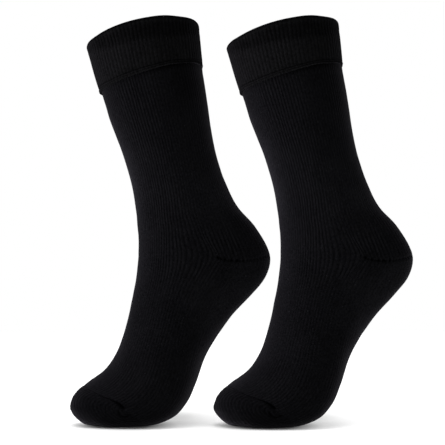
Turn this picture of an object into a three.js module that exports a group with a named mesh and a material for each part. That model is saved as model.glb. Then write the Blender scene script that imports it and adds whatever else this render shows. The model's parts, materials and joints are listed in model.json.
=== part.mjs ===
// A pair of plain ribbed crew socks, filled out as if worn, side by side on tiptoe.
// Millimetres, +Z up. X runs from the toes to the heels, and Y across the feet.
// The origin is midway between the centres of the two ankles.
import * as THREE from 'three';

// Driving sizes
const PITCH = 127.5;          // from one sock to the next, along X
const KNIT = 1.5;             // wall of the single knitted layer
const CUFF_PROUD = 1.4;       // how far the doubled cuff stands out from the leg
const CUFF_WALL = KNIT + CUFF_PROUD;
const RIM_ROUND = 1.4;        // radius of the cuff's rounded top edge
const SEAM_GAP = 0.34;        // from one piece to the next
const FLOOR = -149;           // height of the surface under the toes

// Columns of facets round a sock, and rows of facets along each piece
const COLUMNS = 28;
const ROWS = { cuff: 4, leg: 12, heel: 6, foot: 10, toe: 7 };

// Sections across one sock, from the rim to the tip of the toe, measured from the ankle's centre.
// frontX and frontZ are the shin, instep or toe-top point, and backX and backZ the calf, heel or sole point.
// half is half the width, inward the shift towards the other foot, and lean moves the widest place
// towards the front. square above 2 squares off the sole half, and lift raises the sides of the section.
const SECTION_COLUMNS =
  ['name', 'frontX', 'frontZ', 'backX', 'backZ', 'half', 'inward', 'lean', 'square', 'lift'];
const SECTION_ROWS = [
  ['rim',        -105.9,  192.0,   -6.0,  212.3, 47.5, 0, -0.04, 2.00, 3],
  ['hem',         -94.0,  151.0,   -1.8,  170.0, 43.5, 0, -0.05, 2.00, 0],
  ['calf',        -86.0,  126.5,    1.6,  149.0, 41.0, 0, -0.06, 2.00, 0],
  ['shin',        -75.8,   99.0,    5.8,  119.0, 38.0, 0, -0.06, 2.00, 0],
  ['low_shin',    -67.0,   71.5,   11.7,   89.7, 35.5, 0, -0.04, 2.00, 0],
  ['ankle',       -61.8,   46.0,   19.4,   66.2, 34.5, 0,  0.00, 2.00, 0],
  ['heel_top',    -59.4,   26.0,   30.4,   44.6, 34.5, 0,  0.04, 2.00, 0],
  ['heel_upper',  -58.6,   12.6,   46.3,   26.5, 35.0, 0,  0.08, 2.10, 0],
  ['gore',        -58.8,    0.9,   59.3,   -0.9, 35.0, 0,  0.10, 2.20, 0],
  ['heel_lower',  -59.9,  -10.8,   55.1,  -17.7, 34.5, 0,  0.08, 2.20, 0],
  ['heel_end',    -61.3,  -22.4,   42.4,  -33.6, 34.5, 0,  0.04, 2.20, 0],
  ['arch',        -63.9,  -36.7,   25.4,  -51.6, 36.0, 1, -0.02, 2.20, 0],
  ['midfoot',     -67.0,  -52.7,    8.8,  -75.3, 39.5, 1, -0.08, 2.30, 0],
  ['forefoot',    -71.6,  -69.6,    0.4,  -90.3, 43.5, 2, -0.12, 2.40, 0],
  ['ball_back',   -78.1,  -86.4,   -7.3, -112.3, 46.5, 2, -0.16, 2.40, 0],
  ['ball',        -86.9,  -98.8,  -15.6, -129.8, 48.0, 3, -0.20, 2.40, 0],
  ['ball_front',  -93.9, -104.9,  -25.8, -141.2, 47.5, 3, -0.20, 2.35, 0],
  ['toe_joint',  -100.1, -108.9,  -42.2, -148.2, 46.0, 3, -0.20, 2.35, 0],
  ['toe_base',   -106.3, -113.7,  -64.0, -151.3, 42.5, 4, -0.15, 2.35, 0],
  ['toe_mid',    -112.2, -119.0,  -88.1, -150.6, 36.0, 4, -0.08, 2.30, 0],
  ['toe_end',    -116.2, -125.1, -105.1, -147.8, 24.5, 4,  0.00, 2.20, 0],
  ['toe_tip',    -118.0, -136.0, -118.0, -136.0,  0.0, 4,  0.00, 2.00, 0],
];
const withNames = (row) => Object.fromEntries(SECTION_COLUMNS.map((key, i) => [key, row[i]]));
const SECTIONS = SECTION_ROWS.map(withNames);
const FIELDS = SECTION_COLUMNS.slice(1);

// Where the pieces meet. A share of the girth runs from 0 at the front to 1 at the back of the section.
const GORE_COLUMN = 8;        // column of facets where the heel's gore lines start
const GORE_CORNER = 2 * GORE_COLUMN / COLUMNS;
const TOE_CORNER = 0.50;      // share of the girth where the toe seam ends, at each side of the foot
const TOE_CORNER_SLIDE = 0.2; // how far past the toe joint that end lies, towards the toe base

// Distance of each section along the sock, halfway between its front and its back
const STATIONS = [0];
for (let i = 1; i < SECTIONS.length; i += 1) {
  const [a, b] = [SECTIONS[i - 1], SECTIONS[i]];
  const front = Math.hypot(b.frontX - a.frontX, b.frontZ - a.frontZ);
  const back = Math.hypot(b.backX - a.backX, b.backZ - a.backZ);
  STATIONS.push(STATIONS[i - 1] + (front + back) / 2);
}
const TIP = STATIONS[STATIONS.length - 1];
const stationOf = (name) => STATIONS[SECTIONS.findIndex((section) => section.name === name)];

// Slopes of every field at every section. Past the tip the sock is mirrored, which closes it round.
function slopes() {
  const last = SECTIONS.length - 1;
  const before = SECTIONS[last - 1];
  const beyond = {
    ...before,
    frontX: before.backX,
    frontZ: before.backZ,
    backX: before.frontX,
    backZ: before.frontZ,
    half: -before.half,
  };
  const rise = (i, field) => (SECTIONS[i + 1][field] - SECTIONS[i][field]) / (STATIONS[i + 1] - STATIONS[i]);
  return SECTIONS.map((section, i) => Object.fromEntries(FIELDS.map((field) => {
    if (i === 0) return [field, rise(0, field)];
    if (i === last) return [field, (beyond[field] - before[field]) / (2 * (STATIONS[i] - STATIONS[i - 1]))];
    const ahead = STATIONS[i + 1] - STATIONS[i];
    const behind = STATIONS[i] - STATIONS[i - 1];
    return [field, (rise(i - 1, field) * ahead + rise(i, field) * behind) / (ahead + behind)];
  })));
}
const SLOPES = slopes();

// The section at any distance along the sock, on a smooth cubic through the table's rows
function sectionAt(distance) {
  let i = 0;
  while (i < STATIONS.length - 2 && STATIONS[i + 1] < distance) i += 1;
  const step = STATIONS[i + 1] - STATIONS[i];
  const t = (distance - STATIONS[i]) / step;
  const startWeight = 2 * t ** 3 - 3 * t ** 2 + 1;
  const startSlope = (t ** 3 - 2 * t ** 2 + t) * step;
  const endSlope = (t ** 3 - t ** 2) * step;
  const value = (field) => startWeight * SECTIONS[i][field] + startSlope * SLOPES[i][field]
    + (1 - startWeight) * SECTIONS[i + 1][field] + endSlope * SLOPES[i + 1][field];
  return Object.fromEntries(FIELDS.map((field) => [field, value(field)]));
}

// A point of a section's half outline, for an angle from 0 at the front to PI at the back
function outlinePoint(section, angle) {
  const across = Math.sin(angle);
  const along = Math.cos(angle);
  const power = along < 0 ? 2 / section.square : 1;
  const depth = Math.sign(along) * Math.abs(along) ** power + section.lean * across ** 2;
  return new THREE.Vector3(
    (section.frontX + section.backX) / 2 + depth * (section.frontX - section.backX) / 2,
    section.half * across ** power,
    (section.frontZ + section.backZ) / 2 + depth * (section.frontZ - section.backZ) / 2
      + section.lift * across ** 2,
  );
}

// The half outline's points with their distances along it, from the front to the back
const OUTLINE_STEPS = 72;
function measuredOutline(section) {
  const points = [];
  const lengths = [0];
  for (let i = 0; i <= OUTLINE_STEPS; i += 1) {
    points.push(outlinePoint(section, Math.PI * i / OUTLINE_STEPS));
    if (i > 0) lengths.push(lengths[i - 1] + points[i].distanceTo(points[i - 1]));
  }
  return { points, lengths };
}

// share: 0 at the front, 0.5 at the back and 1 at the front again, evenly spaced round the section
function skinPoint(distance, share, foot) {
  const section = sectionAt(distance);
  const { points, lengths } = measuredOutline(section);
  const turn = share - Math.floor(share);
  const side = turn <= 0.5 ? 1 : -1;
  const reach = (side > 0 ? 2 * turn : 2 - 2 * turn) * lengths[OUTLINE_STEPS];
  let i = 0;
  while (i < OUTLINE_STEPS - 1 && lengths[i + 1] < reach) i += 1;
  const span = lengths[i + 1] - lengths[i];
  const point = points[i].clone().lerp(points[i + 1], span > 0 ? (reach - lengths[i]) / span : 0);
  point.y = side * point.y + foot * section.inward;
  return point;
}

// The skin moved out by a distance, or in where it is negative, and kept off the floor by what lies under it
const NUDGE = 0.4;
const NUDGE_SHARE = 0.004;
function wallPoint(distance, share, out, foot) {
  const first = Math.min(distance, TIP - 2 * NUDGE);
  const along = skinPoint(first + NUDGE, share, foot).sub(skinPoint(Math.max(first - NUDGE, 0), share, foot));
  const round = skinPoint(first, share + NUDGE_SHARE, foot).sub(skinPoint(first, share - NUDGE_SHARE, foot));
  const normal = round.cross(along).normalize();
  const point = skinPoint(distance, share, foot).addScaledVector(normal, out);
  point.z = Math.max(point.z, FLOOR - Math.min(out, 0));
  return point;
}

// Half a seam's gap, as a step along the sock, which is shorter where the sections spread apart
function halfGap(distance, share) {
  const ahead = skinPoint(distance + NUDGE, share, 1);
  const spread = ahead.distanceTo(skinPoint(distance - NUDGE, share, 1)) / (2 * NUDGE);
  return SEAM_GAP / 2 / spread;
}

// The point that closes the toe, on the outer or the inner face of its wall
const TIP_ROW = 3;            // distance of the last row of points from the tip
function tipPoint(out, foot) {
  const near = sectionAt(TIP - TIP_ROW);
  const outward = new THREE.Vector3(near.backZ - near.frontZ, 0, near.frontX - near.backX).normalize();
  const tip = SECTIONS[SECTIONS.length - 1];
  return new THREE.Vector3(tip.frontX, foot * tip.inward, tip.frontZ).addScaledVector(outward, out);
}

// How far towards the back a share of the girth lies, from 0 at the front to 1 at the back
const towardsBack = (share) => 1 - Math.abs(1 - 2 * (share - Math.floor(share)));

// Distances of the seams from the rim; those of the heel and the toe slant over the sides of the foot
const hem = () => stationOf('hem');
const GORE = stationOf('gore');
function heelEdge(share, end) {
  const slant = Math.max(0, towardsBack(share) - GORE_CORNER) / (1 - GORE_CORNER);
  return GORE + (end - GORE) * slant;
}
const legEnd = (share) => heelEdge(share, stationOf('heel_upper'));
const footStart = (share) => heelEdge(share, stationOf('heel_end'));
const TOE_SEAM_TOP = stationOf('toe_base');
const TOE_SEAM_SIDE = stationOf('toe_joint') + TOE_CORNER_SLIDE * (TOE_SEAM_TOP - stationOf('toe_joint'));
function toeSeam(share) {
  const slant = Math.min(1, towardsBack(share) / TOE_CORNER);
  return TOE_SEAM_TOP + (TOE_SEAM_SIDE - TOE_SEAM_TOP) * slant;
}

// A closed wall from rows of outer points and the matching rows of inner points.
// round joins the last column to the first, and tips closes the last rows to two points.
function wallGeometry(outer, inner, { round = true, tips = null } = {}) {
  const columns = outer[0].length;
  const rows = outer.length;
  const points = [...outer.flat(), ...inner.flat()];
  const index = [];
  const at = (layer, row, column) => (layer * rows + row) * columns + column % columns;
  const quad = (a, b, c, d) => index.push(a, b, c, a, c, d);
  const steps = round ? columns : columns - 1;
  for (let column = 0; column < steps; column += 1) {
    for (let row = 0; row < rows - 1; row += 1) {
      quad(at(0, row, column), at(0, row, column + 1), at(0, row + 1, column + 1), at(0, row + 1, column));
      quad(at(1, row, column), at(1, row + 1, column), at(1, row + 1, column + 1), at(1, row, column + 1));
    }
    quad(at(0, 0, column), at(1, 0, column), at(1, 0, column + 1), at(0, 0, column + 1));
    const last = rows - 1;
    if (tips) {
      index.push(at(0, last, column), at(0, last, column + 1), points.length);
      index.push(at(1, last, column), points.length + 1, at(1, last, column + 1));
    } else {
      quad(at(0, last, column), at(0, last, column + 1), at(1, last, column + 1), at(1, last, column));
    }
  }
  if (!round) {
    const end = columns - 1;
    for (let row = 0; row < rows - 1; row += 1) {
      quad(at(0, row, 0), at(0, row + 1, 0), at(1, row + 1, 0), at(1, row, 0));
      quad(at(0, row, end), at(1, row, end), at(1, row + 1, end), at(0, row + 1, end));
    }
  }
  if (tips) points.push(...tips);
  const geometry = new THREE.BufferGeometry().setFromPoints(points);
  geometry.setIndex(index);
  geometry.computeVertexNormals();
  return geometry;
}

// An edge of a piece: the seam it meets, less half the gap. side is 1 where the piece lies after the seam.
const edgeAt = (seam, side) => (share) => seam(share) + side * halfGap(seam(share), share);

// Rows of points between two edges, which are functions of the share; out is the same all over
function rowsBetween(start, end, count, shares, out, foot) {
  return Array.from({ length: count + 1 }, (_, row) => shares.map((share) => {
    const from = start(share);
    return wallPoint(from + (end(share) - from) * row / count, share, out, foot);
  }));
}
const evenShares = Array.from({ length: COLUMNS }, (_, column) => column / COLUMNS);

// The doubled cuff: straight down both faces, and round over the rim
function cuffGeometry(foot) {
  const quarter = [0, 0.5, 1].map((step) => step * Math.PI / 2);
  const rim = quarter.map((angle) => ({
    along: RIM_ROUND * (1 - Math.sin(angle)),
    drop: RIM_ROUND * (1 - Math.cos(angle)),
  })).reverse();
  const end = edgeAt(hem, -1);
  const straight = Array.from({ length: ROWS.cuff }, (_, row) => (row + 1) / ROWS.cuff);
  const faceRows = (face, inwards) => [
    ...rim.map(({ along, drop }) => evenShares.map((share) => (
      wallPoint(along, share, face + inwards * drop, foot)))),
    ...straight.map((part) => evenShares.map((share) => (
      wallPoint(RIM_ROUND + part * (end(share) - RIM_ROUND), share, face, foot)))),
  ];
  return wallGeometry(faceRows(CUFF_PROUD, -1), faceRows(CUFF_PROUD - CUFF_WALL, 1));
}

// The leg: from under the cuff to the gore lines at the front, and to the heel pocket behind
function legGeometry(foot) {
  const start = edgeAt(hem, 1);
  const end = edgeAt(legEnd, -1);
  const face = (out) => rowsBetween(start, end, ROWS.leg, evenShares, out, foot);
  return wallGeometry(face(0), face(-KNIT));
}

// The heel: a pocket between two slanted edges that meet at the corners, which are trimmed to a blunt end
const HEEL_TRIM = 0.2;        // part of a column left off each corner
function heelGeometry(foot) {
  const inside = evenShares.slice(GORE_COLUMN + 1, COLUMNS - GORE_COLUMN);
  const blunt = (GORE_COLUMN + HEEL_TRIM) / COLUMNS;
  const shares = [blunt, ...inside, 1 - blunt];
  const start = edgeAt(legEnd, 1);
  const end = edgeAt(footStart, -1);
  const face = (out) => rowsBetween(start, end, ROWS.heel, shares, out, foot);
  return wallGeometry(face(0), face(-KNIT), { round: false });
}

// The foot: from the gore lines and the heel pocket to the toe seam
function footGeometry(foot) {
  const start = edgeAt(footStart, 1);
  const end = edgeAt(toeSeam, -1);
  const face = (out) => rowsBetween(start, end, ROWS.foot, evenShares, out, foot);
  return wallGeometry(face(0), face(-KNIT));
}

// The toe: a pocket from the toe seam to the rounded tip
function toeGeometry(foot) {
  const start = edgeAt(toeSeam, 1);
  const end = () => TIP - TIP_ROW;
  const face = (out) => rowsBetween(start, end, ROWS.toe, evenShares, out, foot);
  return wallGeometry(face(0), face(-KNIT), { tips: [tipPoint(0, foot), tipPoint(-KNIT, foot)] });
}

const PIECES = {
  cuff: cuffGeometry,
  leg: legGeometry,
  heel: heelGeometry,
  foot: footGeometry,
  toe: toeGeometry,
};
const BLACK_KNIT = { color: 0x161619, roughness: 0.92, metalness: 0 };

// One sock: foot is 1 where the toes turn towards +Y, and -1 where they turn towards -Y
function sock(name, foot) {
  const group = new THREE.Group();
  for (const [piece, geometry] of Object.entries(PIECES)) {
    const mesh = new THREE.Mesh(geometry(foot), new THREE.MeshStandardMaterial(BLACK_KNIT));
    mesh.name = `${name}_${piece}`;
    group.add(mesh);
  }
  return group;
}

const left = sock('left', 1);
left.position.x = -PITCH / 2;
const right = sock('right', -1);
right.position.x = PITCH / 2;

const pair = new THREE.Group();
pair.add(left, right);
export default pair;
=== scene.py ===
# A pair of plain black ribbed crew socks, filled out as if worn, side by side on tiptoe on a white floor.
# Lengths in this script are millimetres, until a mesh is made in metres.
import json
import math

import bpy
import mathutils
import numpy as np
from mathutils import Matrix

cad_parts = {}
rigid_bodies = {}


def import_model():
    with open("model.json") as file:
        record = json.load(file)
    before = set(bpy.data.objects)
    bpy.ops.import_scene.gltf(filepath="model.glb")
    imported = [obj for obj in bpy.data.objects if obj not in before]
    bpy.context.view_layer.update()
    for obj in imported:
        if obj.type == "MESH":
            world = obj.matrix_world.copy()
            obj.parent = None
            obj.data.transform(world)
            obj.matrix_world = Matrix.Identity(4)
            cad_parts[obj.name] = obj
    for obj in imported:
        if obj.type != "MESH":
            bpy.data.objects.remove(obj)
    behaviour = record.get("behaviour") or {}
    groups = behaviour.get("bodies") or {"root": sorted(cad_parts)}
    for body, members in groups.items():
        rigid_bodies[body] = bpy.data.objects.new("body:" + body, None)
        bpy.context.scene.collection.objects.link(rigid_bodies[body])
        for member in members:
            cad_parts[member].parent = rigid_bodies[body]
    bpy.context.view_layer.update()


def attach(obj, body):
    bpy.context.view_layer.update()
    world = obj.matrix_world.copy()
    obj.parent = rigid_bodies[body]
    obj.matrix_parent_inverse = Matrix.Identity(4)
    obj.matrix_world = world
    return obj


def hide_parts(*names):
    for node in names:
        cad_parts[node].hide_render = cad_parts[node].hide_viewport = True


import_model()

MM = 0.001

# Driving sizes
PITCH = 127.5            # from one sock to the next, along X
KNIT = 1.5               # wall of the single knitted layer
INSIDE = KNIT + 0.4      # from the knit's outer face, on average between its ribs, to the inner one
RIM_ROUND = 1.4          # radius of the cuff's rounded top edge
FLOOR = -149.0           # height of the surface under the toes, from the ankle's centre
FLOOR_SOFTNESS = 1.2     # how gently the sole goes over into its flat patch
RIBS = 96                # ribs round the leg and foot
CUFF_RIBS = 86           # wider ribs round the cuff
RIB_PITCH = 2.9          # from one rib to the next in the toe pocket
COURSE = 1.35            # height of one course of stitches
CUFF_DROP = 42.4         # from the rim to the cuff's lower edge, about halfway round
CUFF_FRONT_DROP = 2.1    # how much lower that edge is at the front
CUFF_BACK_RISE = 5.6     # how far it rises from there to the back

# Sections across one sock, from the rim to the tip of the toe, measured from the ankle's centre:
# the front point, the back or sole point, half the width, the shift towards the other foot,
# how far the widest place leans to the front, the squareness of the sole half, and the lift of the sides.
SECTION_COLUMNS = ("front_x", "front_z", "back_x", "back_z", "half", "inward", "lean", "square", "lift")
SECTIONS = {
    "rim":        (-105.9,  192.0,   -6.0,  212.3, 47.5, 0, -0.04, 2.00, 3),
    "hem":        ( -94.0,  151.0,   -1.8,  170.0, 43.5, 0, -0.05, 2.00, 0),
    "calf":       ( -86.0,  126.5,    1.6,  149.0, 41.0, 0, -0.06, 2.00, 0),
    "shin":       ( -75.8,   99.0,    5.8,  119.0, 38.0, 0, -0.06, 2.00, 0),
    "low_shin":   ( -67.0,   71.5,   11.7,   89.7, 35.5, 0, -0.04, 2.00, 0),
    "ankle":      ( -61.8,   46.0,   19.4,   66.2, 34.5, 0,  0.00, 2.00, 0),
    "heel_top":   ( -59.4,   26.0,   30.4,   44.6, 34.5, 0,  0.04, 2.00, 0),
    "heel_upper": ( -58.6,   12.6,   46.3,   26.5, 35.0, 0,  0.08, 2.10, 0),
    "gore":       ( -58.8,    0.9,   59.3,   -0.9, 35.0, 0,  0.10, 2.20, 0),
    "heel_lower": ( -59.9,  -10.8,   55.1,  -17.7, 34.5, 0,  0.08, 2.20, 0),
    "heel_end":   ( -61.3,  -22.4,   42.4,  -33.6, 34.5, 0,  0.04, 2.20, 0),
    "arch":       ( -63.9,  -36.7,   25.4,  -51.6, 36.0, 1, -0.02, 2.20, 0),
    "midfoot":    ( -67.0,  -52.7,    8.8,  -75.3, 39.5, 1, -0.08, 2.30, 0),
    "forefoot":   ( -71.6,  -69.6,    0.4,  -90.3, 43.5, 2, -0.12, 2.40, 0),
    "ball_back":  ( -78.1,  -86.4,   -7.3, -112.3, 46.5, 2, -0.16, 2.40, 0),
    "ball":       ( -86.9,  -98.8,  -15.6, -129.8, 48.0, 3, -0.20, 2.40, 0),
    "ball_front": ( -93.9, -104.9,  -25.8, -141.2, 47.5, 3, -0.20, 2.35, 0),
    "toe_joint":  (-100.1, -108.9,  -42.2, -148.2, 46.0, 3, -0.20, 2.35, 0),
    "toe_base":   (-106.3, -113.7,  -64.0, -151.3, 42.5, 4, -0.15, 2.35, 0),
    "toe_mid":    (-112.2, -119.0,  -88.1, -150.6, 36.0, 4, -0.08, 2.30, 0),
    "toe_end":    (-116.2, -125.1, -105.1, -147.8, 24.5, 4,  0.00, 2.20, 0),
    "toe_tip":    (-118.0, -136.0, -118.0, -136.0,  0.0, 4,  0.00, 2.00, 0),
}


# The skin of one sock
def stations(rows):
    """Distance of each section along the sock, halfway between its front and its back."""
    front = np.linalg.norm(np.diff(rows[:, 0:2], axis=0), axis=1)
    back = np.linalg.norm(np.diff(rows[:, 2:4], axis=0), axis=1)
    return np.concatenate([[0], np.cumsum((front + back) / 2)])


ROWS = np.array(list(SECTIONS.values()), float)
STATIONS = stations(ROWS)
TIP = STATIONS[-1]
AT = dict(zip(SECTIONS, STATIONS))


def sections_at(distance):
    """Every section field at the given distances, on a smooth cubic through the table's rows."""
    step = np.diff(STATIONS)[:, None]
    rise = np.diff(ROWS, axis=0) / step
    slope = np.zeros_like(ROWS)
    slope[0] = rise[0]
    slope[1:-1] = (rise[:-1] * step[1:] + rise[1:] * step[:-1]) / (step[:-1] + step[1:])
    before = ROWS[-2]
    beyond = before.copy()
    beyond[[0, 1, 2, 3]] = before[[2, 3, 0, 1]]
    beyond[4] = -before[4]
    slope[-1] = (beyond - before) / (2 * step[-1])
    i = np.clip(np.searchsorted(STATIONS, distance, "right") - 1, 0, len(STATIONS) - 2)
    t = ((distance - STATIONS[i]) / step[i, 0])[:, None]
    start = 2 * t**3 - 3 * t**2 + 1
    return (
        start * ROWS[i]
        + (1 - start) * ROWS[i + 1]
        + (t**3 - 2 * t**2 + t) * step[i] * slope[i]
        + (t**3 - t**2) * step[i] * slope[i + 1]
    )


def unit(v):
    return v / np.maximum(np.linalg.norm(v, axis=-1, keepdims=True), 1e-12)


class Skin:
    """The smooth half surface as a fine grid: distance along the sock by share of the half girth."""

    STEP = 0.5           # between the grid's distances
    SHARES = 321         # grid points round the half girth
    ANGLES = 241         # steps round each section before it is spaced evenly

    def __init__(self):
        self.distances = np.linspace(0, TIP, int(TIP / self.STEP) + 1)
        self.shares = np.linspace(0, 1, self.SHARES)
        fields = dict(zip(SECTION_COLUMNS, sections_at(self.distances).T[:, :, None]))
        angle = np.linspace(0, math.pi, self.ANGLES)[None, :]
        along, across = np.cos(angle), np.sin(angle)
        power = np.where(along < 0, 2 / fields["square"], 1.0)
        depth = np.sign(along) * np.abs(along) ** power + fields["lean"] * across**2
        x = (fields["front_x"] + fields["back_x"]) / 2 + depth * (fields["front_x"] - fields["back_x"]) / 2
        z = (fields["front_z"] + fields["back_z"]) / 2 + depth * (fields["front_z"] - fields["back_z"]) / 2
        outline = np.stack([x, fields["half"] * across**power, z + fields["lift"] * across**2], -1)
        steps = np.linalg.norm(np.diff(outline, axis=1), axis=2)
        length = np.concatenate([np.zeros((len(steps), 1)), np.cumsum(steps, axis=1)], axis=1)
        self.half_girth = length[:, -1]
        points = np.empty((len(self.distances), self.SHARES, 3))
        for row in range(len(self.distances)):
            reach = self.shares * length[row, -1]
            for axis in range(3):
                points[row, :, axis] = np.interp(reach, length[row], outline[row, :, axis])
        over = points[..., 2] - FLOOR
        points[..., 2] = FLOOR + (over + np.sqrt(over**2 + FLOOR_SOFTNESS**2)) / 2
        self.points = points
        self.normals = self.outward()
        self.inward = fields["inward"][:, 0]

    def outward(self):
        along = np.gradient(self.points, axis=0)
        round_ = np.gradient(self.points, axis=1)
        normals = np.cross(round_, along)
        normals[-1] = normals[-2]
        normals[:, [0, -1], 1] = 0
        return unit(normals)

    def at(self, distance, share):
        """Points and outward normals of the half with y above 0, by straight interpolation in the grid."""
        rows, columns = self.points.shape[:2]
        a = np.clip(distance / TIP * (rows - 1), 0, rows - 1.001)
        b = np.clip(share * (columns - 1), 0, columns - 1.001)
        i, j = a.astype(int), b.astype(int)
        p, q = (a - i)[..., None], (b - j)[..., None]

        def mix(grid):
            near = grid[i, j] * (1 - q) + grid[i, j + 1] * q
            far = grid[i + 1, j] * (1 - q) + grid[i + 1, j + 1] * q
            return near * (1 - p) + far * p

        return mix(self.points), unit(mix(self.normals))

    def girth_at(self, distance):
        return np.interp(distance, self.distances, self.half_girth)

    def inward_at(self, distance):
        return np.interp(distance, self.distances, self.inward)


SKIN = Skin()


def smooth(low, high, x):
    t = np.clip((x - low) / (high - low), 0, 1)
    return t * t * (3 - 2 * t)


def bell(x, width):
    return np.exp(-((x / width) ** 2))


def window(low, high, soft, x):
    """1 between low and high, 0 outside, with soft ends."""
    return smooth(low - soft, low + soft, x) * (1 - smooth(high - soft, high + soft, x))


def wave(x, length):
    return np.cos(x * math.tau / length)


class Noise:
    """Smooth random values on a lattice, the same in each run."""

    LATTICE = 32         # values along each side
    APART = 100.0        # how far apart the two sides of a sock are in the lattice

    def __init__(self, seed):
        self.values = np.random.default_rng(seed).uniform(-1, 1, (self.LATTICE,) * 3)

    def __call__(self, size, distance, around, side):
        p = np.stack(np.broadcast_arrays(distance, around, self.APART * side), axis=-1) / size
        low = np.floor(p).astype(int)
        t = p - low
        t = t * t * (3 - 2 * t)
        total = 0
        for corner in np.ndindex(2, 2, 2):
            i, j, k = [(low[..., n] + corner[n]) % self.LATTICE for n in range(3)]
            weight = np.prod([t[..., n] if corner[n] else 1 - t[..., n] for n in range(3)], axis=0)
            total = total + weight * self.values[i, j, k]
        return total


WOBBLE = Noise(3)
UNEVEN = Noise(11)


def through(x, knots):
    """A smooth curve through a short table of points."""
    xs, ys = np.array(knots, float).T
    slope = np.gradient(ys, xs)
    i = np.clip(np.searchsorted(xs, x, "right") - 1, 0, len(xs) - 2)
    step = xs[i + 1] - xs[i]
    t = np.clip((x - xs[i]) / step, 0, 1)
    start = 2 * t**3 - 3 * t**2 + 1
    bend = (t**3 - 2 * t**2 + t) * slope[i] + (t**3 - t**2) * slope[i + 1]
    return start * ys[i] + (1 - start) * ys[i + 1] + step * bend


def cuff_end(share):
    """Distance of the cuff's lower edge, which sits higher at the back."""
    return CUFF_DROP + CUFF_FRONT_DROP - CUFF_BACK_RISE * smooth(0.2, 0.95, share)


# Seams, as share of the half girth, 0 at the front and 1 at the back or the sole, and distance from the rim
GORE_LINE = ((0, 213.4), (0.50, 213.4), (0.573, 214.4), (0.60, 215.9), (0.634, 216.9), (0.688, 217.2),
             (0.736, 216.9), (0.793, 215.7), (0.85, 213.9), (0.905, 212.1), (1, 211))
GORE_FROM, GORE_TO = 0.572, 0.955    # shares between which the suture shows
TOE_SEAM = ((0, 382.2), (0.124, 380.1), (0.285, 372.7), (0.364, 368.1), (0.406, 365.5), (0.447, 363.9),
            (0.482, 364.1), (0.51, 364.9), (0.6, 365.6), (1, 366))
TOE_SEAM_TO = 0.507                  # share where the seam ends, in a thick knot
TOE_THICK = (0.37, 0.47)             # shares between which it thickens
SMALL_STITCH, BIG_STITCH, TOE_STITCH = 3.4, 5.6, 2.3     # from one stitch to the next along the seams

# The toe pocket, as distance from the rim and share: the point its ribs run round, and the fold past it
TOE_END = (364.5, 0.545)
TOE_CURL = ((371.3, 0.521), (373.0, 0.545), (373.2, 0.562), (371.8, 0.577), (369.9, 0.579), (367.0, 0.573))

# Wales, the lines of stitches. They swing forwards over the heel and kink at the gore line.
SWING, SWING_ABOVE, SWING_BELOW = 0.10, 38, 62    # share, and the reach on each side of the gore line
KINK, KINK_REACH = 0.066, 12
KINK_SHARP, KINK_ROUND = 0.3, 20     # radius of the kink at the back, and how much rounder it is in front


def sideways(wale):
    """How much of the swing a wale takes: none at the front and the back, most at the side."""
    return np.sin(math.pi * np.clip(wale, 0, 1)) ** 1.5


def kink_at(wale):
    return KINK * smooth(0.41, 0.62, wale)


def gore_at(wale):
    """Distance at which a wale meets the gore line."""
    return through(wale + (kink_at(wale) - SWING) * sideways(wale), GORE_LINE)


def uneven_width(distance, wale, side, ribs):
    """Shift of a wale, as a share of the half girth, that makes its rib wider or narrower in places."""
    return 0.45 / ribs * UNEVEN(5.5, distance * 0.2, wale * 125, side) * np.sin(math.pi * wale) ** 0.5


def wale_share(distance, wale):
    """Where a wale runs, as a share of the half girth."""
    off = distance - gore_at(wale)
    swing = -SWING * bell(off, np.where(off < 0, SWING_ABOVE, SWING_BELOW))
    roundness = KINK_SHARP + KINK_ROUND * (1 - smooth(0.52, 0.64, wale))
    kink = kink_at(wale) * np.exp(-(np.sqrt(off**2 + roundness**2) - roundness) / KINK_REACH)
    return np.clip(wale + (swing + kink) * sideways(wale), 0, 1)


# Columns of points on one rib, which make wide crests and narrow valleys
RIB_PHASES = (0.0, 0.3, 0.5, 0.7)
RIB_LEVELS = (1.0, 0.5, -1.0, 0.5)
LEG_RIB, FOOT_RIB, CUFF_RIB = 0.22, 0.12, 0.30    # half the height from valley to crest, at the side


def rib_height(distance, share):
    """Half the height from valley to crest: lower at the front, the back and the heel."""
    leg = LEG_RIB * (0.2 + 0.8 * smooth(0.08, 0.30, share)) * (1 - 0.45 * smooth(0.66, 0.9, share))
    foot = FOOT_RIB * (0.2 + 0.8 * smooth(0.10, 0.30, share)) * (1 - 0.72 * smooth(0.66, 0.84, share))
    below = smooth(AT["gore"], AT["arch"], distance)
    heel = 1 - 0.75 * smooth(0.66, 0.76, share) * bell(distance - 234, 22)
    return (leg * (1 - below) + foot * below) * heel


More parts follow.
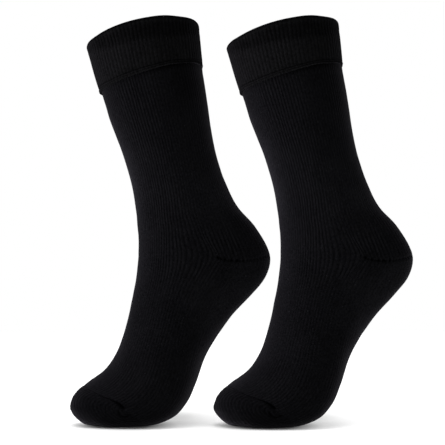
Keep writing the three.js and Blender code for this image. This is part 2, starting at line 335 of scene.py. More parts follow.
# Creases, given one by one. share is signed, negative on the side with y below 0. heading turns the crease
# from round the leg, 0, to along it, 90, and bow bends its middle along the sock. Lengths are millimetres.
CREASE_COLUMNS = ("distance", "share", "heading", "length", "width", "depth", "bow")
CREASES = [
    # hidden side of the shin
    ( 62,  0.38,   6, 44, 2.6, -0.28,  3),
    ( 78,  0.46,  -8, 36, 2.2,  0.22, -2),
    ( 92,  0.40,   5, 40, 2.8, -0.30,  4),
    (107,  0.52, -10, 34, 2.4,  0.24, -3),
    (121,  0.43,   8, 38, 2.6, -0.26,  3),
    (136,  0.56,  -5, 42, 3.0, -0.30,  4),
    # above the heel
    (150,  0.76,   7, 40, 3.0, -0.40,  4),
    (163,  0.72,  -6, 42, 3.4, -0.45,  5),
    (168, -0.78,  -8, 26, 2.8, -0.22,  3),
    (176,  0.77,   9, 38, 2.8,  0.26, -3),
    (184,  0.80,  -4, 34, 3.2, -0.34,  4),
    # instep and the sides of the ankle
    (196, -0.32,  24, 34, 3.4, -0.35,  4),
    (194,  0.34,  20, 38, 3.2, -0.38,  5),
    (232, -0.30, -18, 36, 3.6, -0.34, -4),
    (230,  0.28, -22, 34, 3.4, -0.32, -4),
    # arch and ball
    (272, -0.86, -25, 44, 4.2, -0.45,  4),
    (276,  0.84, -20, 40, 4.0, -0.42,  4),
    (326, -0.52, -38, 30, 2.8, -0.38, -3),
    (334, -0.58, -42, 34, 2.6,  0.28, -3),
    (342, -0.62, -36, 28, 2.8, -0.34, -2),
    (330,  0.55, -40, 32, 2.8, -0.38, -3),
    (340,  0.60, -36, 28, 2.8, -0.32, -2),
    # over the bent toes
    (346, -0.10,   6, 42, 3.2, -0.32,  3),
    (356,  0.08,  -5, 46, 3.0, -0.30,  3),
]


def creases(distance, signed):
    """How far out the creases move the skin."""
    out = np.zeros(np.broadcast(distance, signed).shape)
    girth = SKIN.girth_at(distance)
    for row in CREASES:
        c = dict(zip(CREASE_COLUMNS, row))
        around = ((signed - c["share"] + 1) % 2 - 1) * girth
        along = distance - c["distance"]
        turn = math.radians(c["heading"])
        t = (around * math.cos(turn) + along * math.sin(turn)) / (c["length"] / 2)
        off = -around * math.sin(turn) + along * math.cos(turn) - c["bow"] * (1 - t**2)
        out += c["depth"] * bell(off, c["width"]) * (1 - smooth(0.35, 1.0, np.abs(t)))
    return out


def gore_suture(distance, share, wale):
    """The groove where the heel's halves join, with fashioning marks in front and small stitches after."""
    off = distance - gore_at(wale)
    run = share * SKIN.girth_at(AT["gore"])
    zigzag = 0.35 * wave(run - SMALL_STITCH / 4, SMALL_STITCH)
    shown = window(GORE_FROM, GORE_TO, 0.012, share)
    front = 1 - smooth(0.68, 0.76, share)
    stitches = 0.5 + 0.5 * wave(run, SMALL_STITCH)
    marks = (0.5 + 0.5 * wave(run, BIG_STITCH)) ** 2
    groove = (0.45 + 0.3 * stitches) * bell(off - zigzag, 0.9)
    dents = front * 0.75 * marks * bell(off + 0.4, 1.5)
    lips = 0.22 * (bell(off - 2.3, 1.0) + bell(off + 2.3, 1.0))
    return shown * (lips - groove - dents)


DARKEST_SEAM = 0.92      # share of the yarn's shade that the deepest stitch takes away


def gore_mask(distance, share):
    """The suture's dark thread, with painted shade in its groove: big stitches at its front, then small
    ones.
    """
    off = distance - through(share, GORE_LINE)
    run = share * SKIN.girth_at(AT["gore"])
    shown = window(GORE_FROM, GORE_TO, 0.012, share)
    front = 1 - smooth(0.70, 0.78, share)
    tip = smooth(0.84, 0.92, share)
    marks = (0.5 + 0.5 * wave(run, BIG_STITCH)) ** 2 * front
    small = (0.55 + 0.45 * wave(run, SMALL_STITCH)) * bell(off, 0.8)
    return np.clip(shown * ((0.6 + 0.3 * tip) * small + marks * bell(off + 0.4, 1.35)), 0, DARKEST_SEAM)


def toe_suture(distance, share):
    """The groove of the toe-closing seam, which thickens towards the knot at its end."""
    off = distance - through(share, TOE_SEAM)
    shown = 1 - smooth(TOE_SEAM_TO - 0.01, TOE_SEAM_TO + 0.012, share)
    thick = smooth(*TOE_THICK, share)
    run = share * SKIN.girth_at(AT["toe_base"])
    stitches = 0.8 + 0.2 * wave(run, TOE_STITCH)
    groove = (0.35 + 1.05 * thick) * stitches * bell(off, 0.75 + 0.75 * thick)
    near_lip = (0.10 + 0.18 * thick) * bell(off + 2.1, 1.0)
    far_lip = (0.10 + 0.38 * thick) * bell(off - 2.3 - thick, 1.1)
    return shown * (near_lip + far_lip - groove)


def near_line(distance, share, line):
    """Shortest way on the unrolled skin to a line of (distance, share) points."""
    girth = SKIN.girth_at(distance)
    best = np.full(distance.shape, 1e9)
    for (a, p), (b, q) in zip(line, line[1:]):
        du, dv = b - a, (q - p) * girth
        u, v = distance - a, (share - p) * girth
        t = np.clip((u * du + v * dv) / (du**2 + dv**2), 0, 1)
        best = np.minimum(best, np.hypot(u - t * du, v - t * dv))
    return best


def toe_radius(distance, share):
    """Distance on the unrolled skin from the end of the toe seam."""
    return np.hypot(distance - TOE_END[0], (share - TOE_END[1]) * SKIN.girth_at(distance))


# Meshes
def skin_points(distance, share, side, out, foot):
    """Points of the skin moved out. side is the sign of y, and foot the side that the toes lean to."""
    points, normals = SKIN.at(distance, share)
    points = points + normals * out[..., None]
    points[..., 1] = side * points[..., 1] + foot * SKIN.inward_at(distance)
    points[..., 2] = np.maximum(points[..., 2], FLOOR + np.maximum(-out, 0))
    return points


def columns_of(ribs):
    """Each column of a ribbed grid, once round from the front: its rib count, wale, side and level."""
    count = (np.arange(ribs)[:, None] + np.array(RIB_PHASES)[None, :]).ravel()
    turn = count / ribs
    return count, 1 - np.abs(1 - 2 * turn), np.where(turn <= 0.5, 1.0, -1.0), np.tile(RIB_LEVELS, ribs)


def closed(table, last):
    """A table with one more column, for the seam of a texture map."""
    return np.concatenate([table, np.broadcast_to(last, table.shape)[:, :1]], axis=1)


def corners(table):
    quads = np.stack([table[:-1, :-1], table[:-1, 1:], table[1:, 1:], table[1:, :-1]], axis=2)
    return quads.reshape(-1, 4, *table.shape[2:])


class Shell:
    """Gathers bands of quads, with two texture maps: the knit's ribs and courses, and one for baking.

    Each point also has a shade, which scales the yarn's colour and carries painted light and painted shade,
    and a strength for the painted lines of the ribs.
    """

    def __init__(self):
        self.points, self.shades, self.lines, self.faces, self.knit, self.bake = [], [], [], [], [], []
        self.count = 0

    def keep(self, grid, shade, lines):
        """Takes a grid of points that closes round, and returns its numbers with the first column again."""
        rows, columns = grid.shape[:2]
        ids = self.count + np.arange(rows * columns).reshape(rows, columns)
        self.points.append(grid.reshape(-1, 3))
        self.shades.append(np.broadcast_to(shade, (rows, columns)).ravel())
        self.lines.append(np.broadcast_to(lines, (rows, columns)).ravel())
        self.count += rows * columns
        return np.concatenate([ids, ids[:, :1]], axis=1)

    def polygons(self, ids, knit, bake):
        self.faces.extend(ids.tolist())
        self.knit.append(np.asarray(knit, float).reshape(-1, 2))
        self.bake.append(np.asarray(bake, float).reshape(-1, 2))

    def band(self, ids, knit, bake):
        self.polygons(corners(ids), corners(knit), corners(bake))

    def cap(self, row, point, knit, bake):
        """Triangles from a row to one point beyond it."""
        pole = self.count
        self.points.append(np.reshape(point, (1, 3)))
        self.shades.append(np.ones(1))
        self.lines.append(np.ones(1))
        self.count += 1
        ids = np.stack([row[:-1], row[1:], np.full(len(row) - 1, pole)], axis=1)
        tip_knit = (knit[:-1] + knit[1:]) / 2 + [0, 1]
        tip_bake = (bake[:-1] + bake[1:]) / 2 + [0, 0.004]
        self.polygons(
            ids,
            np.stack([knit[:-1], knit[1:], tip_knit], axis=1),
            np.stack([bake[:-1], bake[1:], tip_bake], axis=1),
        )

    def make(self, name, place_x):
        vertices = np.concatenate(self.points) * MM
        vertices[:, 0] += place_x * MM
        mesh = bpy.data.meshes.new(name)
        mesh.from_pydata(vertices.tolist(), [], self.faces)
        for map_name, values in (("knit", self.knit), ("OFBake", self.bake)):
            layer = mesh.uv_layers.new(name=map_name)
            layer.uv.foreach_set("vector", np.concatenate(values).astype(np.float32).ravel())
        for attribute_name, values in (("shade", self.shades), ("lines", self.lines)):
            attribute = mesh.attributes.new(attribute_name, "FLOAT", "POINT")
            attribute.data.foreach_set("value", np.concatenate(values).astype(np.float32))
        mesh.polygons.foreach_set("use_smooth", [True] * len(mesh.polygons))
        mesh.update()
        made = bpy.data.objects.new(name, mesh)
        bpy.context.collection.objects.link(made)
        return made


def bake_grid(rows, columns, low, high):
    """Corners of a grid in the bake's map, filling its width between two heights."""
    u = np.linspace(0.01, 0.99, columns + 1)
    v = np.interp(rows, (rows[0], rows[-1]), (low, high))
    return np.stack(np.meshgrid(u, v), axis=2)


NEAR_SEAM = (0.0, 0.45, 0.9, 1.4, 2.1, 3.1)      # distances of the close rows from a seam
ROW_STEP, TOE_ROW_STEP = 2.9, 0.85               # between the other rows
LEG_LENGTH, FOOT_LENGTH, TOE_LENGTH = 170, 155, 52
TIP_ROW = 0.7                                    # from the last row to the tip
UNDER_CUFF = 1.4                                 # how far the leg reaches up under the cuff


def spaced(length, step, start=True, end=True):
    """Shares of a length with rows a step apart, and closer ones next to a seam at the start or end."""
    low = list(NEAR_SEAM) if start else [0.0]
    high = [length - d for d in NEAR_SEAM[::-1]] if end else [length]
    between = high[0] - low[-1]
    middle = np.linspace(low[-1], high[0], max(2, round(between / step)) + 1)[1:-1]
    return np.array(low + middle.tolist() + high) / length


def body_rows(wale):
    """Distance of each grid point down the sock, in rows that follow the gore line and the toe seam."""
    top = cuff_end(wale) - UNDER_CUFF
    gore, toe, tip = gore_at(wale), through(wale, TOE_SEAM), np.full_like(wale, TIP - TIP_ROW)
    leg = spaced(LEG_LENGTH, ROW_STEP, start=False)[:, None]
    foot = spaced(FOOT_LENGTH, ROW_STEP)[1:, None]
    pocket = spaced(TOE_LENGTH, TOE_ROW_STEP, end=False)[1:, None]
    return np.concatenate([
        top + (gore - top) * leg,
        gore + (toe - gore) * foot,
        toe + (tip - toe) * pocket,
    ])


def body_out(distance, share, side, wale, level):
    """How far out each point of the knitted surface lies from the skin."""
    beyond = distance - through(wale, TOE_SEAM)
    ribbed = 1 - smooth(0.2, 2.5, beyond)
    uneven = 1 + 0.35 * UNEVEN(9.0, distance, wale * 240, side)
    ribs = rib_height(distance, share) * uneven * level * ribbed
    arcs = 0.15 * wave(toe_radius(distance, share), RIB_PITCH) * smooth(1.5, 4.5, beyond)
    arcs = arcs * smooth(TIP, TIP - 14, distance)
    curl = -0.30 * bell(near_line(distance, share, TOE_CURL), 0.6)
    slack = 0.35 * WOBBLE(17.0, distance, wale * 130, side)
    tucked = -0.9 * (1 - smooth(-UNDER_CUFF, 1.6, distance - cuff_end(wale)))
    return (
        ribs + arcs + curl + slack + tucked
        + creases(distance, share * side)
        + gore_suture(distance, share, wale)
        + toe_suture(distance, share)
    )


# Soft patches of painted light and painted shade, on the near and the far side alike. Each has its middle
# and reach along the sock, the shares of the half girth that it lies between, how soft those two edges are,
# and how much it changes.
PATCH_COLUMNS = ("middle", "reach", "low", "high", "soft", "change")
FRONT = -1               # low share of a patch that goes on round the front
# Painted light: the yarn's colour is made paler where light falls on the leg, heel, sole and front edge.
PAINTED_LIGHT_PATCHES = [
    (140, 46, FRONT, 0.375, 0.125, 0.20),     # shin
    (158, 42,  0.36, 0.72,  0.09,  0.34),     # ankle
    (165, 18,  0.68, 0.92,  0.06,  0.45),     # above the heel
    (250, 26,  0.50, 0.86,  0.09,  0.20),     # below the heel
    (272, 45,  0.70, 0.91,  0.06,  0.26),     # arch
    (130, 50, FRONT, 0.16,  0.12,  1.30),     # front edge of the leg, the instep and the forefoot
    (235, 30, FRONT, 0.16,  0.12,  0.60),
    (320, 22, FRONT, 0.16,  0.12,  0.50),
]
KNUCKLE_HIGHLIGHT = (366, 11, FRONT, 0.175, 0.125, 0.45)    # a painted highlight too, as far as the toe seam
# Painted shade: the yarn's colour is made darker over the heel and the instep.
PAINTED_SHADE_PATCHES = [
    (203, 24,  0.48, 0.86,  0.08,  0.06),     # heel
    (328, 20, FRONT, 0.375, 0.125, 0.12),     # instep, above the bend of the toes
]
# Where the ribs' painted highlights and shade show more clearly
CLEARER_LINES = [
    (204, 17,  0.50, 0.76,  0.06,  1.25),     # above the gore line
    (227, 11,  0.40, 0.61,  0.04,  1.15),     # below it
]


def patch(distance, share, row):
    p = dict(zip(PATCH_COLUMNS, row))
    across = window(p["low"], p["high"], p["soft"], share)
    return p["change"] * bell(distance - p["middle"], p["reach"]) * across


def body_shade(distance, share, height):
    """Painted shade under the hem, by the floor and in seams and folds, dark seam thread, and painted
    light.
    """
    below = np.maximum(distance - cuff_end(share), 0)
    # Painted shade: a thin band just under the hem, a broad one below it at the back, and by the floor.
    under_hem_shade = bell(below, 2.6) * (0.3 + 0.5 * smooth(0.2, 0.75, share))
    behind = 0.50 * bell(below, 44) * smooth(0.52, 0.78, share)
    ground = 0.6 * bell(height - FLOOR, 24) * smooth(0.5, 0.75, share)
    off = distance - through(share, TOE_SEAM)
    pocket = 0.25 * smooth(-0.5, 1.5, off)
    thick = smooth(*TOE_THICK, share)
    # The toe seam is dark thread with painted shade in its groove; curl is painted shade in the fold past
    # it.
    seam = (0.85 + 0.1 * thick) * bell(off, 0.7 + 0.9 * thick)
    seam = seam * (1 - smooth(TOE_SEAM_TO - 0.005, TOE_SEAM_TO + 0.012, share))
    curl = 0.8 * bell(near_line(distance, share, TOE_CURL), 0.75)
    painted_light = sum(patch(distance, share, row) for row in PAINTED_LIGHT_PATCHES) + patch(distance, share, KNUCKLE_HIGHLIGHT) * (off < 0)
    painted_shade = sum(patch(distance, share, row) for row in PAINTED_SHADE_PATCHES)
    shade = (1 + painted_light) * (1 - painted_shade) * (1 - under_hem_shade) * (1 - behind) * (1 - ground) * (1 - pocket)
    return shade * (1 - seam) * (1 - curl) * (1 - gore_mask(distance, share))


def body_lines(distance, share):
    """Strength of the ribs' painted highlights and shade: best towards the front, and by the gore line."""
    leg = (0.1 + 0.9 * smooth(0.16, 0.32, share)) * (1 - 0.8 * smooth(0.35, 0.55, share))
    strong = 0.20 + 0.42 * smooth(AT["forefoot"], AT["ball"], distance)
    foot = strong * (0.2 + 0.8 * smooth(0.15, 0.3, share)) * (1 - 0.75 * smooth(0.56, 0.75, share))
    below = smooth(AT["gore"], AT["arch"], distance)
    clear = leg * (1 - below) + foot * below
    for row in CLEARER_LINES:
        clear = np.maximum(clear, patch(distance, share, row))
    return clear


def knit_map(distance, share, wale, count):
    """Rib and course counts. In the toe pocket the ribs run round the end of the toe seam."""
    beyond = distance - through(wale, TOE_SEAM) > 0
    pocket = toe_radius(distance, share) / RIB_PITCH
    angle = np.arctan2((share - TOE_END[1]) * SKIN.girth_at(distance), distance - TOE_END[0])
    u = np.where(beyond, pocket, count + 0 * distance)
    v = np.where(beyond, (angle * TOE_COURSES + 40) / COURSE, distance / COURSE)
    last_u = np.where(beyond[:, :1], pocket[:, :1], RIBS)
    return np.stack([closed(u, last_u), closed(v, v[:, :1])], axis=2)


TOE_COURSES = 24                 # radius at which the toe pocket's courses are as high as the leg's
BAKE_OUTSIDE = (0.27, 0.98)      # heights in the bake's map
BAKE_INSIDE = (0.02, 0.25)
BAKE_EDGE = 0.26
BAKE_CUFF = (0.02, 0.98)
TOE_ROWS, LAST_ROWS = 64, 8      # rows from the end: the toe pocket's, and those that the inside leaves out
INNER_SHADE, INNER_LINES = 0.8, 0.5


def inside_rows(count):
    """The inside is smooth, with far fewer rows than the outside."""
    return np.concatenate([
        [0, 2],
        np.arange(6, count - TOE_ROWS, 3),
        np.arange(count - TOE_ROWS, count - LAST_ROWS, 5),
    ])


def make_body(name, foot, place_x):
    shell = Shell()
    count, wale, side, level = columns_of(RIBS)
    distance = body_rows(wale)
    share = np.clip(wale_share(distance, wale[None, :]) + uneven_width(distance, wale, side, RIBS), 0, 1)
    outer = skin_points(distance, share, side, body_out(distance, share, side, wale, level), foot)
    ids = shell.keep(outer, body_shade(distance, share, outer[..., 2]), body_lines(distance, share))
    knit = knit_map(distance, share, wale, count)
    bake = bake_grid(distance[:, 0], len(count), *BAKE_OUTSIDE)
    shell.band(ids, knit, bake)
    tip, _ = SKIN.at(np.array([TIP]), np.array([0.5]))
    tip = tip[0] + [-0.1, foot * SKIN.inward_at(TIP), 0]
    shell.cap(ids[-1], tip, knit[-1], bake[-1])

    # The inside has every second column.
    rows = inside_rows(len(distance))
    d, s = distance[rows][:, ::2], share[rows][:, ::2]
    inner = skin_points(d, s, side[::2], np.full(d.shape, -INSIDE), foot)
    inner_ids = shell.keep(inner, INNER_SHADE, INNER_LINES)
    inner_knit, inner_bake = knit[rows][:, ::2], bake_grid(d[:, 0], d.shape[1], *BAKE_INSIDE)
    shell.band(inner_ids[:, ::-1], inner_knit[:, ::-1], inner_bake[:, ::-1])
    inner_tip = tip + [INSIDE, 0, 0.6]
    shell.cap(inner_ids[-1][::-1], inner_tip, inner_knit[-1][::-1], inner_bake[-1][::-1])

    # The edge under the cuff: a quad and a triangle join two columns outside to one inside.
    edge_out, edge_in = ids[0], inner_ids[0]
    flat_bake = np.full((len(edge_in) - 1, 4, 2), BAKE_EDGE)
    quads = np.stack([edge_in[:-1], edge_in[1:], edge_out[2::2], edge_out[1::2]], axis=1)
    shell.polygons(quads, flat_bake * 0, flat_bake)
    thirds = np.stack([edge_in[:-1], edge_out[1::2], edge_out[:-1:2]], axis=1)
    shell.polygons(thirds, flat_bake[:, :3] * 0, flat_bake[:, :3])
    return shell.make(name, place_x)


# The doubled cuff. Its profile runs down the outside, round the lower edge, and up the inside to the rim.
CUFF_OUTSIDE = (      # distance from the rim, how far out
    (1.45, 1.75), (3.0, 1.85), (5.0, 1.75), (8.0, 1.6), (12.0, 1.55), (30.0, 1.5), (34.0, 1.45),
    (38.4, 1.35),
)
CUFF_HEM = (          # the hem's double ridge, with a groove above each one
    (39.0, 1.15), (39.4, 1.05), (39.8, 1.25), (40.2, 1.65), (40.5, 1.75), (40.8, 1.55), (41.05, 1.35),
    (41.3, 1.55), (41.6, 1.8), (41.9, 1.75), (42.2, 1.4), (42.4, 0.9), (42.45, 0.2), (42.3, -0.6),
    (41.8, -1.3),
)
HEM_GROOVES = ((39.3, 0.6), (41.05, 0.3))    # distance and reach of the painted shade in each groove
HEM_RIDGES = ((40.5, 0.10), (41.7, 0.15))    # distance, and how much paler the painted highlight on it is
HOLLOW_EDGE = (       # lower edge of the hollow below the rim: share of the half girth, distance
    (0, 5), (0.12, 8.8), (0.2, 12.8), (0.3, 15.5), (0.39, 16.4), (0.5, 17.2), (0.66, 16.9), (0.77, 15.2),
    (0.88, 12.4), (1, 9),
)
HOLLOW_FROM, HOLLOW_DEPTH = 4.0, 1.1
HEM_NOTCH = ((40.0, 0.440), (44.4, 0.446))   # as distance and share, on the photo's side only
CUFF_INSIDE_OUT = -1.5
CUFF_ROW_STEP, CUFF_INNER_STEP = 1.5, 3.0
RIM_ANGLES = (165, 140, 115, 90, 65, 40, 18)


def cuff_profile():
    """Distance, way out, and how much of the ribs shows, at each row of the closed profile."""
    (rim, rim_out), (hem, _) = CUFF_OUTSIDE[0], CUFF_OUTSIDE[-1]
    down = np.concatenate([np.arange(rim, hem - 1.4, CUFF_ROW_STEP), [hem]])
    shown = (0.15 + 0.85 * smooth(1, 7, down)) * (1 - 0.3 * smooth(35, hem, down))
    rows = list(zip(down, through(down, CUFF_OUTSIDE), shown))
    rows += [(d, out, 0.35 if out > 0.5 else 0.0) for d, out in CUFF_HEM]
    rows += [(d, CUFF_INSIDE_OUT, 0.5) for d in np.arange(39.5, 2.5, -CUFF_INNER_STEP)]
    middle = (rim_out + CUFF_INSIDE_OUT) / 2
    radius = (rim_out - CUFF_INSIDE_OUT) / 2
    for angle in np.radians(RIM_ANGLES):
        rows.append((rim - RIM_ROUND * math.sin(angle), middle + radius * math.cos(angle), 0.12))
    rows.append(rows[0])
    return np.array(rows, float)


def cuff_hollow(share, along):
    """How deep the hollow below the rim is, from 0 to 1: it fades out at the front and the back."""
    hollow = window(HOLLOW_FROM, through(share, HOLLOW_EDGE), 2.0, along)
    return hollow * (0.35 + 0.65 * smooth(0.1, 0.4, share)) * (1 - 0.85 * smooth(0.80, 0.96, share))


def cuff_shade(distance, along, share, patchy):
    """Painted light and shade outside: shade in the hollow, rim, hem grooves and back; pale hem ridges."""
    dim_to = through(share, HOLLOW_EDGE) + 2 * (1 - smooth(0.05, 0.25, share))
    hollow_shade = window(HOLLOW_FROM, dim_to, 3.0, along)
    hollow_shade = hollow_shade * (0.65 + 0.35 * smooth(0.04, 0.3, share)) * (1 + 0.4 * patchy)
    # Painted highlights on the hem's ridges, turned to painted shade at their back end.
    ridge = sum(painted_light * bell(distance - at, 0.4) for at, painted_light in HEM_RIDGES)
    ridge = ridge * (1 - smooth(0.6, 0.85, share))
    ridge = ridge - 0.8 * bell(distance - 41.8, 1.1) * smooth(0.60, 0.84, share)
    groove = sum(0.6 * bell(distance - at, width) for at, width in HEM_GROOVES)
    back = 0.30 * smooth(0.5, 0.8, share) * (1 - smooth(0.94, 1.0, share))
    return (1 - 0.42 * hollow_shade) * (1 + ridge) * (1 - groove) * (1 - back) * (1 - cuff_rim_shade(distance))


# Painted shade along the rounded rim.
def cuff_rim_shade(distance):
    return 0.65 * (1 - smooth(1.0, 3.2, distance))


def make_cuff(name, foot, place_x):
    shell = Shell()
    count, wale, side, level = columns_of(CUFF_RIBS)
    profile = cuff_profile()
    profile_out, ribs_shown = profile[:-1, 1:2], profile[:-1, 2:3]
    outside = profile_out > 0
    distance = np.repeat(profile[:-1, :1], len(count), axis=1)
    share = np.clip(wale + uneven_width(distance, wale, side, CUFF_RIBS), 0, 1)
    slant = (cuff_end(share) - CUFF_DROP) * distance / CUFF_DROP
    along = distance + slant + 0.35 * UNEVEN(21.0, 0 * distance, wale * 200, side)
    hollow = cuff_hollow(share, along)
    uneven = 1 + 0.35 * UNEVEN(8.0, distance, wale * 260, side)
    height = CUFF_RIB * (0.45 + 0.55 * smooth(0.04, 0.2, share)) * uneven
    ribs = height * level * ribs_shown * np.where(outside, 1, -1)
    slack = 0.3 * WOBBLE(19.0, distance, wale * 150, side)
    notch = -0.6 * bell(near_line(distance, share, HEM_NOTCH), 0.9) * (side < 0) * outside
    pressed = 0.45 * bell(distance - 41.7, 0.6) * smooth(0.6, 0.85, share)
    inwards = HOLLOW_DEPTH * hollow + 0.7 * smooth(0.8, 1, share) + pressed
    out = profile_out + ribs + slack + notch - inwards * outside
    points = skin_points(np.maximum(along, 0), share, side, out, foot)

    patchy = UNEVEN(6.0, distance * 0.4, wale * 150, side)
    shade = cuff_shade(distance, along, share, patchy)
    shade = np.where(outside, shade, INNER_SHADE * (1 - cuff_rim_shade(distance)))
    # The ribs' painted highlights and shade are stronger in the hollow.
    ids = shell.keep(points, shade, 0.46 + 0.34 * hollow)
    rounds = np.concatenate([[0], np.cumsum(np.hypot(*np.diff(profile[:, :2], axis=0).T))])
    knit_u = closed(np.broadcast_to(count, distance.shape), CUFF_RIBS)
    knit_u = np.concatenate([knit_u, knit_u[:1]])
    knit = np.stack([knit_u, np.repeat(rounds[:, None] / COURSE, len(count) + 1, axis=1)], axis=2)
    shell.band(np.concatenate([ids, ids[:1]]), knit, bake_grid(rounds, len(count), *BAKE_CUFF))
    return shell.make(name, place_x)


# Materials
def node(tree, kind, inputs=None, **settings):
    made = tree.nodes.new(kind)
    for key, value in settings.items():
        setattr(made, key, value)
    for key, value in (inputs or {}).items():
        if isinstance(value, bpy.types.NodeSocket):
            tree.links.new(value, made.inputs[key])
        else:
            made.inputs[key].default_value = value
    return made


def maths(tree, operation, *values, clamp=False):
    made = node(tree, "ShaderNodeMath", dict(enumerate(values)), operation=operation, use_clamp=clamp)
    return made.outputs[0]


def noise(tree, where, scale, detail=2.0, roughness=0.5):
    made = node(tree, "ShaderNodeTexNoise", {
        "Vector": where, "Scale": scale, "Detail": detail, "Roughness": roughness,
    })
    return made.outputs["Fac"]


def ramp(tree, value, low, high, to_low=0.0, to_high=1.0):
    made = node(tree, "ShaderNodeMapRange", {
        "Value": value, "From Min": low, "From Max": high, "To Min": to_low, "To Max": to_high,
    })
    return made.outputs["Result"]


SHEEN_ROUGHNESS, SHEEN_TINT = 0.33, (0.93, 0.90, 1.0, 1.0)
FUZZ_SCALE, PATCH_SCALE, LINT_SCALE = 620.0, 38.0, 900.0     # to a metre
LINT_COLOUR = (0.035, 0.036, 0.04, 1)
STITCH_SLANT = 1.6
STITCH_DEPTH = 0.00025           # metres


def knit_material(name, dark, light, sheen):
    """Black knit: painted highlights on rib crests, painted shade in valleys, stitches, fuzz and a little
    lint.
    """
    material = bpy.data.materials.new(name)
    material.use_nodes = True
    tree = material.node_tree
    shader = tree.nodes["Principled BSDF"]
    shader.inputs["Roughness"].default_value = 1.0
    shader.inputs["Specular IOR Level"].default_value = 0.0
    shader.inputs["Sheen Weight"].default_value = sheen
    shader.inputs["Sheen Roughness"].default_value = SHEEN_ROUGHNESS
    shader.inputs["Sheen Tint"].default_value = SHEEN_TINT

    knit = node(tree, "ShaderNodeUVMap", uv_map="knit").outputs[0]
    place = node(tree, "ShaderNodeTexCoord").outputs["Object"]
    split = node(tree, "ShaderNodeSeparateXYZ", {0: knit})
    rib, course = split.outputs["X"], split.outputs["Y"]
    # Ribs: a painted highlight on each crest and painted shade in each valley, scaled by the lines
    # attribute.
    number = maths(tree, "FLOOR", maths(tree, "ADD", rib, 0.5))
    wide = maths(tree, "ABSOLUTE", maths(tree, "SUBTRACT", rib, number))
    valley = ramp(tree, wide, 0.28, 0.5)
    crest = ramp(tree, wide, 0.06, 0.30, 1.0, 0.0)
    slant = maths(tree, "ADD", course, maths(tree, "MULTIPLY", wide, STITCH_SLANT))
    stitch = maths(tree, "SINE", maths(tree, "MULTIPLY", slant, math.tau))
    stitch = maths(tree, "MULTIPLY_ADD", stitch, 0.5, 0.5)

    # Each rib comes and goes along its length.
    own = node(tree, "ShaderNodeCombineXYZ", {
        "X": maths(tree, "MULTIPLY", number, 7.31), "Y": maths(tree, "MULTIPLY", course, 0.11),
    }).outputs[0]
    lines = node(tree, "ShaderNodeAttribute", attribute_name="lines").outputs["Fac"]
    strength = maths(tree, "MULTIPLY", lines, ramp(tree, noise(tree, own, 1.0, 2.0), 0.36, 0.66, 0.1, 1.1))

    fuzz = ramp(tree, noise(tree, place, FUZZ_SCALE, 4.0, 0.7), 0.36, 0.64)
    patches = noise(tree, place, PATCH_SCALE, 3.0, 0.55)
    lint = ramp(tree, noise(tree, place, LINT_SCALE, 1.0), 0.735, 0.80)
    tone = maths(tree, "MULTIPLY_ADD", stitch, 0.10, maths(tree, "MULTIPLY", fuzz, 0.50))
    tone = maths(tree, "MULTIPLY_ADD", patches, 0.40, tone)
    tone = maths(tree, "MULTIPLY_ADD", maths(tree, "MULTIPLY", crest, strength), 0.34, tone)
    gap = maths(tree, "MULTIPLY", maths(tree, "MULTIPLY", valley, 0.6), strength)
    tone = maths(tree, "MULTIPLY", tone, maths(tree, "SUBTRACT", 1.0, gap), clamp=True)
    colour = node(tree, "ShaderNodeMix", {
        "Factor": tone, "A": (*dark, 1), "B": (*light, 1),
    }, data_type="RGBA")
    dusty = node(tree, "ShaderNodeMix", {
        "Factor": maths(tree, "MULTIPLY", lint, 0.25), "A": colour.outputs["Result"], "B": LINT_COLOUR,
    }, data_type="RGBA")
    # The shade attribute brings each point's painted light and shade into the base colour.
    shade = node(tree, "ShaderNodeAttribute", attribute_name="shade").outputs["Fac"]
    shaded = node(tree, "ShaderNodeVectorMath", {
        0: dusty.outputs["Result"], "Scale": shade,
    }, operation="SCALE")
    tree.links.new(shaded.outputs[0], shader.inputs["Base Color"])

    height = maths(tree, "MULTIPLY_ADD", stitch, 0.3, maths(tree, "MULTIPLY", fuzz, 0.9))
    height = maths(tree, "SUBTRACT", height, maths(tree, "MULTIPLY", gap, 0.8))
    bump = node(tree, "ShaderNodeBump", {"Height": height, "Strength": 0.5, "Distance": STITCH_DEPTH})
    tree.links.new(bump.outputs["Normal"], shader.inputs["Normal"])
    return material


# Socks
def declare(piece, nodes, material):
    piece.data.materials.append(material)
    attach(piece, "root")
    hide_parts(*nodes)


cuff_material = knit_material("cuff_knit", (0.0004, 0.0004, 0.0004), (0.0049, 0.0049, 0.0052), 0.018)
body_material = knit_material("body_knit", (0.0004, 0.0004, 0.0005), (0.00395, 0.00395, 0.00445), 0.038)

for name, place_x, foot in (("left", -PITCH / 2, 1), ("right", PITCH / 2, -1)):
    cuff = make_cuff(name + "_cuff_knit", foot, place_x)
    declare(cuff, [name + "_cuff"], cuff_material)
    body = make_body(name + "_body_knit", foot, place_x)
    replaced = [name + part for part in ("_leg", "_heel", "_foot", "_toe")]
    declare(body, replaced, body_material)


# Floor, light and camera
SHADE_PLACE = (-94.8, 86.0)       # middle of the painted shadow behind the left sock's ball
SHADE_REACH = (27.0, 70.0)
SHADE_DEPTH = 0.40
CONTACT_PLACE = (-136.0, -6.0)    # under the left sock's toes: a painted contact shadow, with less glow
CONTACT_REACH = (50.0, 62.0)
CONTACT_CORE = 0.45               # share of the reach that is fully dark
CONTACT_GLOW = 0.08               # share of the floor's glow that is left there
FLOOR_GREY, FLOOR_GLOW = 0.82, 0.42
FLOOR_RADIUS = 9.0                # metres


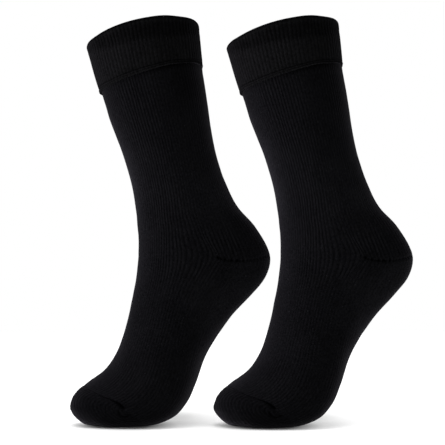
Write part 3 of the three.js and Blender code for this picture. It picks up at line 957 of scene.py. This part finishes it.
def floor_material():
    """White and glowing, with painted shadows under and behind the ball of each foot."""
    material = bpy.data.materials.new("floor")
    material.use_nodes = True
    tree = material.node_tree
    place = node(tree, "ShaderNodeTexCoord").outputs["Object"]
    split = node(tree, "ShaderNodeSeparateXYZ", {0: place})

    def square_from(middle, reach, shift):
        """Square of the distance from a place, where 1 is the reach."""
        total = 0.0
        for axis, start, length in zip("XY", (middle[0] + shift, middle[1]), reach):
            off = maths(tree, "SUBTRACT", split.outputs[axis], start * MM)
            off = maths(tree, "DIVIDE", off, length * MM)
            total = maths(tree, "MULTIPLY_ADD", off, off, total)
        return total

    clear, glow = 1.0, 1.0
    for shift in (0, PITCH):
        near = square_from(SHADE_PLACE, SHADE_REACH, shift)
        soft = maths(tree, "EXPONENT", maths(tree, "MULTIPLY", near, -1.0))
        clear = maths(tree, "SUBTRACT", clear, maths(tree, "MULTIPLY", soft, SHADE_DEPTH))
        away = maths(tree, "SQRT", square_from(CONTACT_PLACE, CONTACT_REACH, shift))
        glow = maths(tree, "MULTIPLY", glow, ramp(tree, away, CONTACT_CORE, 1.0, CONTACT_GLOW, 1.0))
    shader = tree.nodes["Principled BSDF"]
    shader.inputs["Roughness"].default_value = 1.0
    shader.inputs["Specular IOR Level"].default_value = 0.0
    colour = node(tree, "ShaderNodeVectorMath", {0: (FLOOR_GREY,) * 3, "Scale": clear}, operation="SCALE")
    tree.links.new(colour.outputs[0], shader.inputs["Base Color"])
    shader.inputs["Emission Color"].default_value = (1, 1, 1, 1)
    glow = maths(tree, "MULTIPLY", maths(tree, "MULTIPLY", clear, glow), FLOOR_GLOW)
    tree.links.new(glow, shader.inputs["Emission Strength"])
    return material


bpy.ops.mesh.primitive_circle_add(
    vertices=96, radius=FLOOR_RADIUS, fill_type="NGON", location=(0, 0, FLOOR * MM),
)
floor = bpy.context.object
floor.name = "floor"
floor.data.materials.append(floor_material())

world = bpy.data.worlds.new("studio")
world.use_nodes = True
world.node_tree.nodes["Background"].inputs["Color"].default_value = (1, 1, 1, 1)
world.node_tree.nodes["Background"].inputs["Strength"].default_value = 1.0
bpy.context.scene.world = world
bpy.context.scene.view_settings.view_transform = "Standard"


def look_at(thing, target):
    away = thing.location - mathutils.Vector(target)
    thing.rotation_euler = away.to_track_quat("Z", "Y").to_euler()


def soft_light(name, location, target, size, power, colour, only, shadow=False):
    """A square lamp that lights the objects of one collection."""
    light = bpy.data.lights.new(name, "AREA")
    light.shape = "SQUARE"
    light.size = size
    light.energy = power
    light.color = colour
    light.use_shadow = shadow
    lamp = bpy.data.objects.new(name, light)
    bpy.context.collection.objects.link(lamp)
    lamp.location = location
    look_at(lamp, target)
    lamp.light_linking.receiver_collection = only


def group(name, members):
    made = bpy.data.collections.new(name)
    for member in members:
        made.objects.link(member)
    return made


socks = group("socks", [thing for thing in bpy.data.objects if thing.name.endswith("_knit")])
left_sock = group("left sock", [thing for thing in socks.objects if thing.name.startswith("left")])
right_sock = group("right sock", [thing for thing in socks.objects if thing.name.startswith("right")])
ground = group("ground", [floor])

WHITE, LILAC, PALE_LILAC = (1, 1, 1), (0.96, 0.90, 1.0), (0.97, 0.93, 1.0)
MIDDLE, ABOVE_MIDDLE = (0, 0, 0), (0, 0, 0.02)
soft_light("left", (-2.0, -0.10, 0.42), ABOVE_MIDDLE, 0.8, 98, LILAC, socks)
soft_light("left again", (-2.0, 0.5, 0.3), ABOVE_MIDDLE, 0.8, 44, LILAC, right_sock)
soft_light("right", (1.5, 1.2, 0.1), MIDDLE, 0.8, 30, PALE_LILAC, socks)
soft_light("right again", (1.5, 1.0, 0.0), MIDDLE, 0.8, 12, PALE_LILAC, left_sock)
soft_light("low right", (0.6, 0.0, -1.8), MIDDLE, 0.8, 22, WHITE, socks)
soft_light("floor", (-0.25, -0.8, 1.35), (0, 0, FLOOR * MM), 0.9, 12, WHITE, ground, shadow=True)

CAMERA_X, CAMERA_Y, CAMERA_Z = -0.04715, -0.950, -0.05886
TARGET_Z = 0.03109
camera = bpy.data.objects.new("camera", bpy.data.cameras.new("camera"))
bpy.context.collection.objects.link(camera)
camera.location = (CAMERA_X, CAMERA_Y, CAMERA_Z)
look_at(camera, (CAMERA_X, 0, TARGET_Z))
camera.data.sensor_width = 36
camera.data.lens = 85.78
bpy.context.scene.camera = camera
